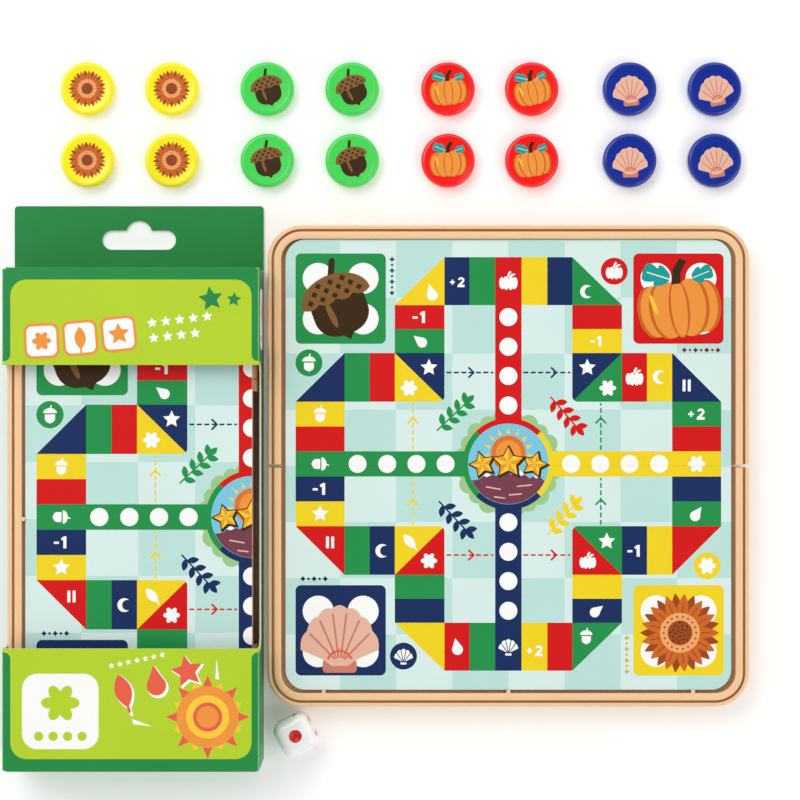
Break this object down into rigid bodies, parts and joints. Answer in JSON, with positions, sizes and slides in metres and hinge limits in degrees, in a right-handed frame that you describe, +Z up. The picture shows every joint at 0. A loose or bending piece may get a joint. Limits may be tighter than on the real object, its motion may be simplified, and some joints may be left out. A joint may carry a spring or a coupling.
{
  "type": "magnetic pocket board game set",
  "caption": "Folding plastic case with a race-game board printed on its outer face, magnetic discs, a die, and a green window carton holding a folded case.",
  "frame": {"origin": "middle of the whole laid-out set, on the table it lies on", "axes": "+X to the right of the board as seen from above, +Y towards the row of discs, +Z up from the table"},
  "size_m": [0.258, 0.2466, 0.0287],
  "materials": {
    "tray_plastic": "satin moulded",
    "printed_sheet": "laminated print",
    "steel_plate": "zinc plated",
    "hinge_pin": "bright",
    "magnet": "matte",
    "die_plastic": "polished",
    "carton_board": "varnished print",
    "disc_yellow": "glossy",
    "disc_green": "glossy",
    "disc_red": "glossy",
    "disc_blue": "glossy"
  },
  "bodies": {
    "carton": {"carton_sleeve": "carton_board", "carton_hang_panel": "carton_board", "boxed_front_tray": "tray_plastic", "boxed_front_play_plate": "printed_sheet", "boxed_hinge_pin_upper": "hinge_pin", "boxed_hinge_pin_lower": "hinge_pin", "boxed_rear_tray": "tray_plastic", "boxed_rear_play_plate": "printed_sheet"},
    "top_flap": {"carton_top_flap": "carton_board"},
    "bottom_flap": {"carton_bottom_flap": "carton_board"},
    "rear_half": {"rear_tray": "tray_plastic", "rear_steel_plate": "steel_plate", "rear_play_sheet": "printed_sheet", "rear_closing_magnet": "magnet", "hinge_pin_left": "hinge_pin", "hinge_pin_right": "hinge_pin"},
    "front_half": {"front_tray": "tray_plastic", "front_steel_plate": "steel_plate", "front_play_sheet": "printed_sheet", "front_closing_magnet": "magnet"},
    "die": {"die": "die_plastic"},
    "yellow_disc_1": {"disc_yellow_1": "disc_yellow", "disc_magnet_yellow_1": "magnet"},
    "yellow_disc_2": {"disc_yellow_2": "disc_yellow", "disc_magnet_yellow_2": "magnet"},
    "yellow_disc_3": {"disc_yellow_3": "disc_yellow", "disc_magnet_yellow_3": "magnet"},
    "yellow_disc_4": {"disc_yellow_4": "disc_yellow", "disc_magnet_yellow_4": "magnet"},
    "green_disc_1": {"disc_green_1": "disc_green", "disc_magnet_green_1": "magnet"},
    "green_disc_2": {"disc_green_2": "disc_green", "disc_magnet_green_2": "magnet"},
    "green_disc_3": {"disc_green_3": "disc_green", "disc_magnet_green_3": "magnet"},
    "green_disc_4": {"disc_green_4": "disc_green", "disc_magnet_green_4": "magnet"},
    "red_disc_1": {"disc_red_1": "disc_red", "disc_magnet_red_1": "magnet"},
    "red_disc_2": {"disc_red_2": "disc_red", "disc_magnet_red_2": "magnet"},
    "red_disc_3": {"disc_red_3": "disc_red", "disc_magnet_red_3": "magnet"},
    "red_disc_4": {"disc_red_4": "disc_red", "disc_magnet_red_4": "magnet"},
    "blue_disc_1": {"disc_blue_1": "disc_blue", "disc_magnet_blue_1": "magnet"},
    "blue_disc_2": {"disc_blue_2": "disc_blue", "disc_magnet_blue_2": "magnet"},
    "blue_disc_3": {"disc_blue_3": "disc_blue", "disc_magnet_blue_3": "magnet"},
    "blue_disc_4": {"disc_blue_4": "disc_blue", "disc_magnet_blue_4": "magnet"}
  },
  "joints": [
    {"name": "case_lift", "type": "hinge", "parent": "carton", "child": "rear_half", "pos_m": [0.045, 0.0652, 0], "axis": [-1, 0, 0], "range_deg": [0, 90]},
    {"name": "case_fold", "type": "hinge", "parent": "rear_half", "child": "front_half", "pos_m": [0.045, -0.0188, 0.0016], "axis": [1, 0, 0], "range_deg": [0, 180]},
    {"name": "top_flap_hinge", "type": "hinge", "parent": "carton", "child": "top_flap", "pos_m": [-0.085, 0.0497, 0.0007], "axis": [-1, 0, 0], "range_deg": [0, 90]},
    {"name": "bottom_flap_hinge", "type": "hinge", "parent": "carton", "child": "bottom_flap", "pos_m": [-0.085, -0.1233, 0.0007], "axis": [1, 0, 0], "range_deg": [0, 90]},
    {"name": "yellow_disc_1_lift", "type": "slide", "parent": "carton", "child": "yellow_disc_1", "axis": [0, 0, 1], "range_m": [0, 0.03]},
    {"name": "yellow_disc_2_lift", "type": "slide", "parent": "carton", "child": "yellow_disc_2", "axis": [0, 0, 1], "range_m": [0, 0.03]},
    {"name": "yellow_disc_3_lift", "type": "slide", "parent": "carton", "child": "yellow_disc_3", "axis": [0, 0, 1], "range_m": [0, 0.03]},
    {"name": "yellow_disc_4_lift", "type": "slide", "parent": "carton", "child": "yellow_disc_4", "axis": [0, 0, 1], "range_m": [0, 0.03]},
    {"name": "green_disc_1_lift", "type": "slide", "parent": "carton", "child": "green_disc_1", "axis": [0, 0, 1], "range_m": [0, 0.03]},
    {"name": "green_disc_2_lift", "type": "slide", "parent": "carton", "child": "green_disc_2", "axis": [0, 0, 1], "range_m": [0, 0.03]},
    {"name": "green_disc_3_lift", "type": "slide", "parent": "carton", "child": "green_disc_3", "axis": [0, 0, 1], "range_m": [0, 0.03]},
    {"name": "green_disc_4_lift", "type": "slide", "parent": "carton", "child": "green_disc_4", "axis": [0, 0, 1], "range_m": [0, 0.03]},
    {"name": "red_disc_1_lift", "type": "slide", "parent": "carton", "child": "red_disc_1", "axis": [0, 0, 1], "range_m": [0, 0.03]},
    {"name": "red_disc_2_lift", "type": "slide", "parent": "carton", "child": "red_disc_2", "axis": [0, 0, 1], "range_m": [0, 0.03]},
    {"name": "red_disc_3_lift", "type": "slide", "parent": "carton", "child": "red_disc_3", "axis": [0, 0, 1], "range_m": [0, 0.03]},
    {"name": "red_disc_4_lift", "type": "slide", "parent": "carton", "child": "red_disc_4", "axis": [0, 0, 1], "range_m": [0, 0.03]},
    {"name": "blue_disc_1_lift", "type": "slide", "parent": "carton", "child": "blue_disc_1", "axis": [0, 0, 1], "range_m": [0, 0.03]},
    {"name": "blue_disc_2_lift", "type": "slide", "parent": "carton", "child": "blue_disc_2", "axis": [0, 0, 1], "range_m": [0, 0.03]},
    {"name": "blue_disc_3_lift", "type": "slide", "parent": "carton", "child": "blue_disc_3", "axis": [0, 0, 1], "range_m": [0, 0.03]},
    {"name": "blue_disc_4_lift", "type": "slide", "parent": "carton", "child": "blue_disc_4", "axis": [0, 0, 1], "range_m": [0, 0.03]},
    {"name": "die_lift", "type": "slide", "parent": "carton", "child": "die", "axis": [0, 0, 1], "range_m": [0, 0.03]}
  ],
  "couplings": [
    {"joint": "case_fold", "follows": "case_lift", "ratio": 2}
  ]
}
